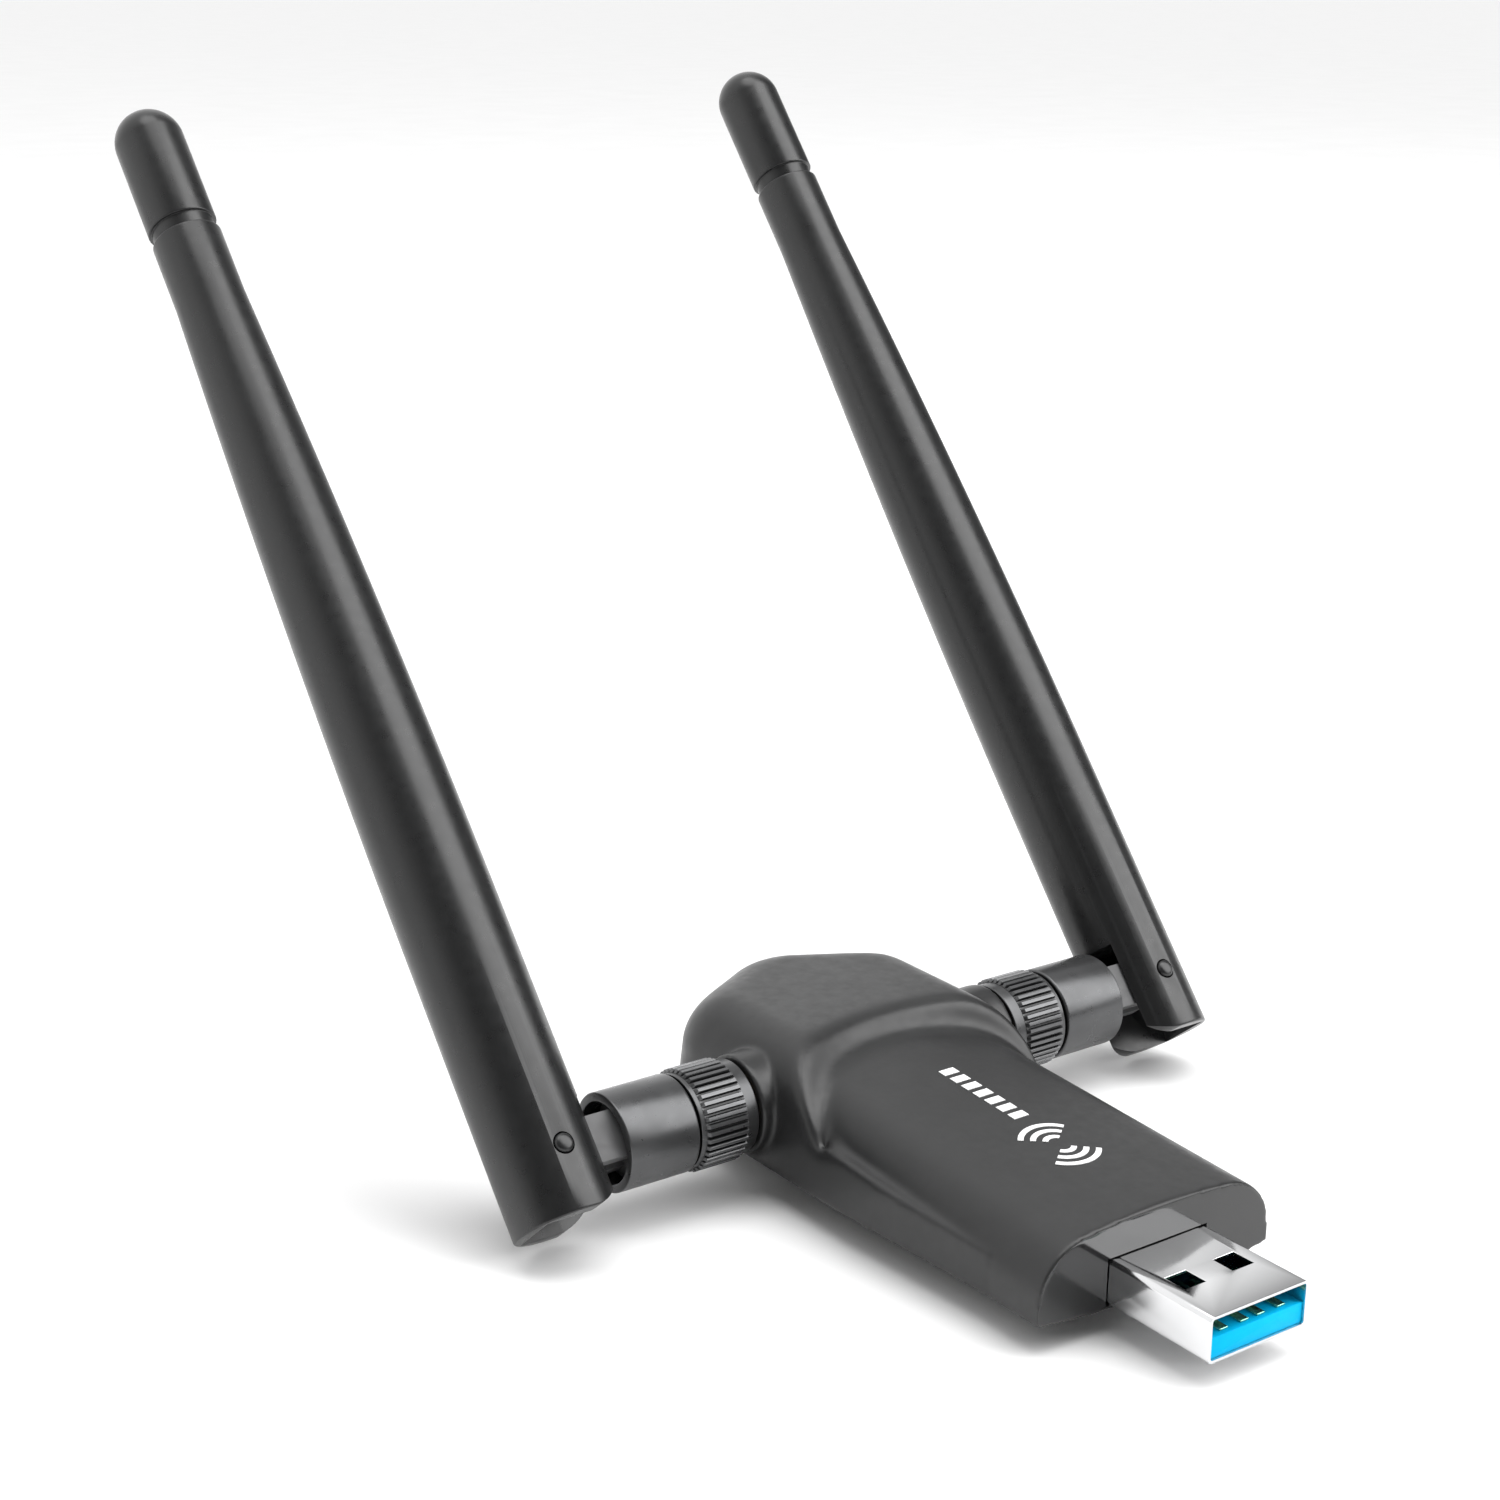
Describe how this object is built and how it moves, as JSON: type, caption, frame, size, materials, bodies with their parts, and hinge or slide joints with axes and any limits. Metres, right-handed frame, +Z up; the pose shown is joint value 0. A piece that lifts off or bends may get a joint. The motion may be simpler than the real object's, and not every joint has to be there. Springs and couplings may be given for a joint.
{
  "type": "usb wifi adapter",
  "caption": "Black USB wireless network adapter with a polished USB plug and hinged, screw-on whip antennas on the sides of a stepped housing.",
  "frame": {"origin": "centre of the USB plug's cross-section where it leaves the housing's front face", "axes": "-Y is the way the plug goes in, +Y runs back through the housing, +X towards the right-hand antenna, +Z up, away from the flat underside"},
  "size_m": [0.0872, 0.1364, 0.1025],
  "materials": {
    "housing_plastic": "satin black ABS with a fine texture",
    "antenna_plastic": "satin black ABS",
    "gunmetal": "dark electroplated finish",
    "plug_steel": "polished nickel plate",
    "plug_blue": "bright blue moulding",
    "gold_contact": "gold flash",
    "board_green": "solder mask",
    "can_steel": "tinned sheet",
    "chip_black": "moulding compound",
    "ceramic": "fired ceramic",
    "brass_part": "turned brass",
    "ptfe": "white insulator",
    "coax_jacket": "coax jacket",
    "ink": "white pad print"
  },
  "bodies": {
    "adapter": {"upper_housing": "housing_plastic", "bottom_cover": "housing_plastic", "usb_plug_shell": "plug_steel", "usb_plug_insulator": "plug_blue", "usb2_contacts": "gold_contact", "superspeed_contacts": "gold_contact", "circuit_board": "board_green", "shield_can": "can_steel", "radio_chip": "chip_black", "memory_chip": "chip_black", "crystal": "can_steel", "power_inductor": "chip_black", "chip_capacitors": "ceramic", "coax_sockets": "gold_contact", "printed_sign": "ink", "left_antenna_jack": "brass_part", "left_jack_insulator": "ptfe", "left_jack_pin": "gold_contact", "left_jack_nut": "brass_part", "left_coax_plug": "gold_contact", "left_coax_pigtail": "coax_jacket", "right_antenna_jack": "brass_part", "right_jack_insulator": "ptfe", "right_jack_pin": "gold_contact", "right_jack_nut": "brass_part", "right_coax_plug": "gold_contact", "right_coax_pigtail": "coax_jacket"},
    "left_antenna_plug": {"left_ferrule": "brass_part", "left_socket_pin": "gold_contact", "left_plug_insulator": "ptfe", "left_antenna_lead": "coax_jacket", "left_swivel_ring": "brass_part"},
    "left_collar": {"left_knurled_collar": "gunmetal"},
    "left_swivel_base": {"left_swivel_sleeve": "gunmetal", "left_hinge_fork": "antenna_plastic"},
    "left_whip": {"left_whip_tube": "antenna_plastic", "left_whip_cap": "antenna_plastic", "left_pivot_pins": "gunmetal", "left_radiator_coax": "coax_jacket", "left_radiator_sleeve": "brass_part", "left_radiator_rod": "brass_part"},
    "right_antenna_plug": {"right_ferrule": "brass_part", "right_socket_pin": "gold_contact", "right_plug_insulator": "ptfe", "right_antenna_lead": "coax_jacket", "right_swivel_ring": "brass_part"},
    "right_collar": {"right_knurled_collar": "gunmetal"},
    "right_swivel_base": {"right_swivel_sleeve": "gunmetal", "right_hinge_fork": "antenna_plastic"},
    "right_whip": {"right_whip_tube": "antenna_plastic", "right_whip_cap": "antenna_plastic", "right_pivot_pins": "gunmetal", "right_radiator_coax": "coax_jacket", "right_radiator_sleeve": "brass_part", "right_radiator_rod": "brass_part"}
  },
  "joints": [
    {"name": "left_antenna_draw", "type": "slide", "parent": "adapter", "child": "left_antenna_plug", "axis": [-1, 0, 0], "range_m": [0, 0.00353]},
    {"name": "left_collar_spin", "type": "hinge", "parent": "left_antenna_plug", "child": "left_collar", "pos_m": [-0.02, 0.0426, 0.0037], "axis": [-1, 0, 0], "range_deg": [0, 1800]},
    {"name": "left_swivel", "type": "hinge", "parent": "left_antenna_plug", "child": "left_swivel_base", "pos_m": [-0.0275, 0.0426, 0.0037], "axis": [-1, 0, 0], "range_deg": [-180, 180]},
    {"name": "left_fold", "type": "hinge", "parent": "left_swivel_base", "child": "left_whip", "pos_m": [-0.0383, 0.0426, 0.0037], "axis": [0, -0.7501, 0.6613], "range_deg": [0, 90]},
    {"name": "right_antenna_draw", "type": "slide", "parent": "adapter", "child": "right_antenna_plug", "axis": [1, 0, 0], "range_m": [0, 0.00353]},
    {"name": "right_collar_spin", "type": "hinge", "parent": "right_antenna_plug", "child": "right_collar", "pos_m": [0.02, 0.0426, 0.0037], "axis": [1, 0, 0], "range_deg": [0, 1800]},
    {"name": "right_swivel", "type": "hinge", "parent": "right_antenna_plug", "child": "right_swivel_base", "pos_m": [0.0275, 0.0426, 0.0037], "axis": [1, 0, 0], "range_deg": [-180, 180]},
    {"name": "right_fold", "type": "hinge", "parent": "right_swivel_base", "child": "right_whip", "pos_m": [0.0383, 0.0426, 0.0037], "axis": [0, 0.7716, -0.6361], "range_deg": [0, 90]}
  ],
  "couplings": [
    {"joint": "left_collar_spin", "follows": "left_antenna_draw", "rad_per_m": 8905.3},
    {"joint": "right_collar_spin", "follows": "right_antenna_draw", "rad_per_m": 8905.3}
  ]
}
